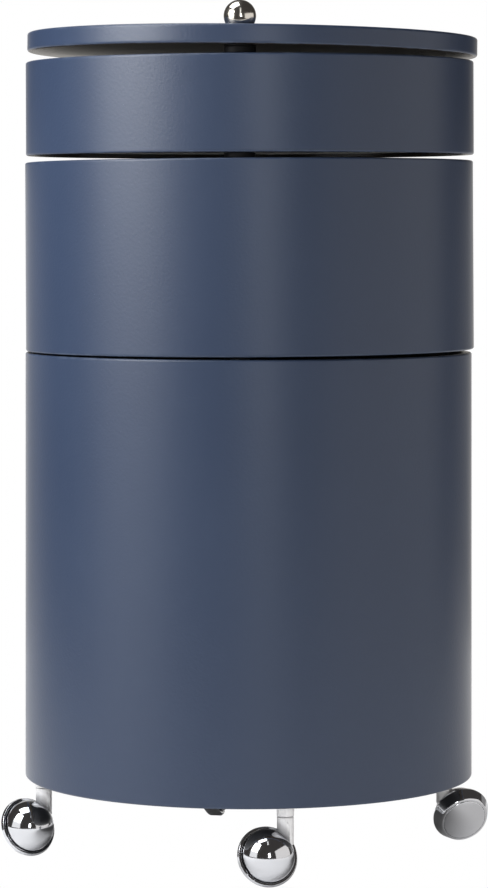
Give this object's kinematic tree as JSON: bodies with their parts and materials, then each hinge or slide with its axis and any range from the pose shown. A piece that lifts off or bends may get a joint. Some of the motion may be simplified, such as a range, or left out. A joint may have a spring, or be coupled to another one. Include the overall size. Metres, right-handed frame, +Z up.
{
  "type": "bar cabinet",
  "caption": "Round lacquered bar cabinet on ball castors: a deep base drum, two shallower drums and a flat lid swing sideways on one upright post with a ball knob.",
  "frame": {"origin": "on the floor, under the middle of the base drum", "axes": "+Z up, the front with the pivot post faces -Y, +X to the right as seen from the front"},
  "size_m": [0.4161, 0.3889, 0.7115],
  "materials": {
    "blue_lacquer": "satin lacquer",
    "floor_board": "grey painted board",
    "chrome": "polished",
    "polished_steel": "polished",
    "plain_steel": "satin",
    "black_plastic": "satin"
  },
  "bodies": {
    "base": {"base_shell": "blue_lacquer", "base_floor": "floor_board", "pivot_post": "plain_steel", "post_foot": "plain_steel", "foot_screw_1": "plain_steel", "foot_screw_2": "plain_steel", "post_clamp": "plain_steel", "clamp_screw_1": "plain_steel", "clamp_screw_2": "plain_steel", "ball_knob": "polished_steel", "lower_spacer": "black_plastic", "middle_spacer": "black_plastic", "upper_spacer": "black_plastic", "front_castor_socket": "chrome", "right_castor_socket": "chrome", "rear_castor_socket": "chrome", "left_castor_socket": "chrome"},
    "middle_drum": {"middle_drum_shell": "blue_lacquer", "middle_drum_floor": "floor_board", "middle_drum_sleeve": "plain_steel", "middle_drum_leaf_screw_1": "plain_steel", "middle_drum_leaf_screw_2": "plain_steel", "middle_drum_leaf_screw_3": "plain_steel", "middle_drum_leaf_screw_4": "plain_steel"},
    "top_drum": {"top_drum_shell": "blue_lacquer", "top_drum_floor": "floor_board", "top_drum_sleeve": "plain_steel", "top_drum_leaf_screw_1": "plain_steel", "top_drum_leaf_screw_2": "plain_steel"},
    "lid": {"lid_panel": "blue_lacquer", "lid_bush": "black_plastic"},
    "front_castor": {"front_castor_hood": "chrome", "front_castor_pin": "plain_steel", "front_castor_axle": "plain_steel"},
    "front_wheel": {"front_castor_tread": "chrome", "front_castor_core": "black_plastic", "front_castor_cap": "chrome"},
    "right_castor": {"right_castor_hood": "chrome", "right_castor_pin": "plain_steel", "right_castor_axle": "plain_steel"},
    "right_wheel": {"right_castor_tread": "chrome", "right_castor_core": "black_plastic", "right_castor_cap": "chrome"},
    "rear_castor": {"rear_castor_hood": "chrome", "rear_castor_pin": "plain_steel", "rear_castor_axle": "plain_steel"},
    "rear_wheel": {"rear_castor_tread": "chrome", "rear_castor_core": "black_plastic", "rear_castor_cap": "chrome"},
    "left_castor": {"left_castor_hood": "chrome", "left_castor_pin": "plain_steel", "left_castor_axle": "plain_steel"},
    "left_wheel": {"left_castor_tread": "chrome", "left_castor_core": "black_plastic", "left_castor_cap": "chrome"}
  },
  "joints": [
    {"name": "middle_drum_swing", "type": "hinge", "parent": "base", "child": "middle_drum", "pos_m": [-0.00701, -0.17446, 0.42456], "axis": [0, 0, 1], "continuous": true},
    {"name": "top_drum_swing", "type": "hinge", "parent": "base", "child": "top_drum", "pos_m": [-0.00701, -0.17446, 0.58896], "axis": [0, 0, 1], "continuous": true},
    {"name": "lid_swing", "type": "hinge", "parent": "base", "child": "lid", "pos_m": [-0.00701, -0.17446, 0.67566], "axis": [0, 0, 1], "continuous": true},
    {"name": "front_castor_swivel", "type": "hinge", "parent": "base", "child": "front_castor", "pos_m": [0.02957, -0.17299, 0.05496], "axis": [0, 0, 1], "continuous": true},
    {"name": "front_wheel_roll", "type": "hinge", "parent": "front_castor", "child": "front_wheel", "pos_m": [0.015, -0.17433, 0.02273], "axis": [0.2432, -0.8769, 0.4147], "continuous": true},
    {"name": "right_castor_swivel", "type": "hinge", "parent": "base", "child": "right_castor", "pos_m": [0.16856, 0.02881, 0.05496], "axis": [0, 0, 1], "continuous": true},
    {"name": "right_wheel_roll", "type": "hinge", "parent": "right_castor", "child": "right_wheel", "pos_m": [0.18304, 0.03086, 0.02273], "axis": [-0.2857, 0.8639, 0.4147], "continuous": true},
    {"name": "rear_castor_swivel", "type": "hinge", "parent": "base", "child": "rear_castor", "pos_m": [-0.02957, 0.17299, 0.05496], "axis": [0, 0, 1], "continuous": true},
    {"name": "rear_wheel_roll", "type": "hinge", "parent": "rear_castor", "child": "rear_wheel", "pos_m": [-0.0342, 0.15911, 0.02273], "axis": [0.9007, -0.1298, 0.4147], "continuous": true},
    {"name": "left_castor_swivel", "type": "hinge", "parent": "base", "child": "left_castor", "pos_m": [-0.17299, -0.02957, 0.05496], "axis": [0, 0, 1], "continuous": true},
    {"name": "left_wheel_roll", "type": "hinge", "parent": "left_castor", "child": "left_wheel", "pos_m": [-0.18638, -0.03547, 0.02273], "axis": [0.5088, -0.7544, 0.4147], "continuous": true}
  ]
}
